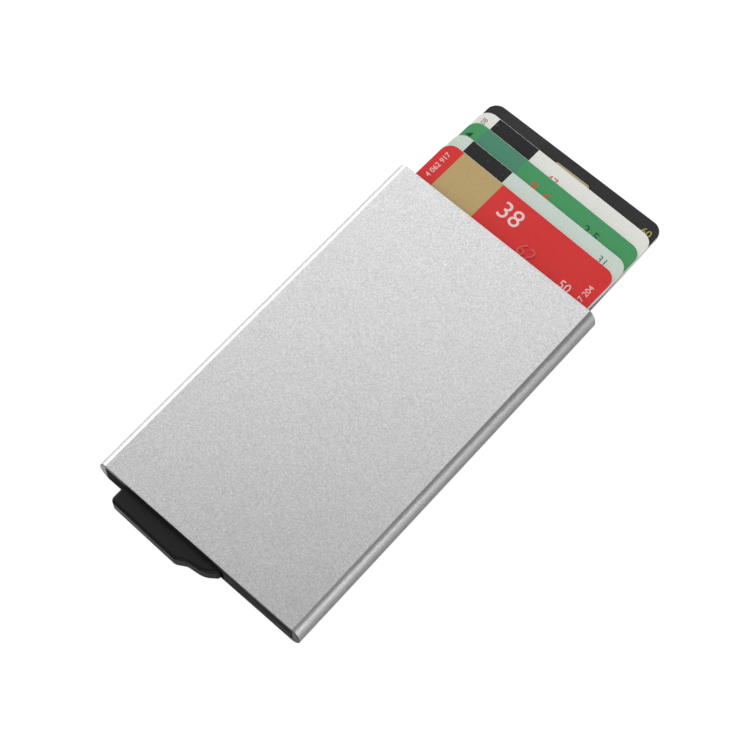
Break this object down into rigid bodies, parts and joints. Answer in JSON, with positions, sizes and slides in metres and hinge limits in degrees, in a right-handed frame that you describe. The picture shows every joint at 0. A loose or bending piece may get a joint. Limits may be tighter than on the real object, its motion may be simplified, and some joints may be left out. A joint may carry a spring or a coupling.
{
  "type": "card holder",
  "caption": "Slim flat metal card holder with a side-pivoted push lever at its closed end and bank-size cards fanned out of its open end.",
  "frame": {"origin": "centre of the housing's flat back face, on which the holder lies", "axes": "+X across the width to the side away from the lever's pivot, +Y towards the open mouth, +Z out through the front face"},
  "size_m": [0.062, 0.1405, 0.0085],
  "materials": {
    "aluminium": "bead-blasted and clear anodised, fine matt grain",
    "black_plastic": "fine moulded texture",
    "steel": "drawn and ground",
    "felt": "short flocked tape",
    "red_card": "laminated card, satin",
    "mint_card": "laminated card, satin",
    "green_card": "laminated card, satin",
    "white_card": "laminated card, satin",
    "black_card": "laminated card, satin"
  },
  "bodies": {
    "housing": {"housing": "aluminium", "end_cap": "black_plastic", "pivot_pin": "steel", "return_spring": "steel", "friction_strip_left": "felt", "friction_strip_right": "felt"},
    "lever": {"lever": "black_plastic"},
    "card_red": {"card_red": "red_card"},
    "card_mint": {"card_mint": "mint_card"},
    "card_green": {"card_green": "green_card"},
    "card_white": {"card_white": "white_card"},
    "card_black": {"card_black": "black_card"}
  },
  "joints": [
    {"name": "lever_pivot", "type": "hinge", "parent": "housing", "child": "lever", "pos_m": [-0.02402, -0.04717, 0.00425], "axis": [0, 0, 1], "range_deg": [0, 49.5], "stiffness_Nm_per_rad": 0.01, "springref_deg": -28.65, "deforming": ["return_spring"]},
    {"name": "card_red_slide", "type": "slide", "parent": "housing", "child": "card_red", "axis": [0, 1, 0], "range_m": [-0.01338, 0.07579]},
    {"name": "card_mint_slide", "type": "slide", "parent": "housing", "child": "card_mint", "axis": [0, 1, 0], "range_m": [-0.01798, 0.07114]},
    {"name": "card_green_slide", "type": "slide", "parent": "housing", "child": "card_green", "axis": [0, 1, 0], "range_m": [-0.02358, 0.06559]},
    {"name": "card_white_slide", "type": "slide", "parent": "housing", "child": "card_white", "axis": [0, 1, 0], "range_m": [-0.02828, 0.0607]},
    {"name": "card_black_slide", "type": "slide", "parent": "housing", "child": "card_black", "axis": [0, 1, 0], "range_m": [-0.03238, 0.05632]}
  ]
}
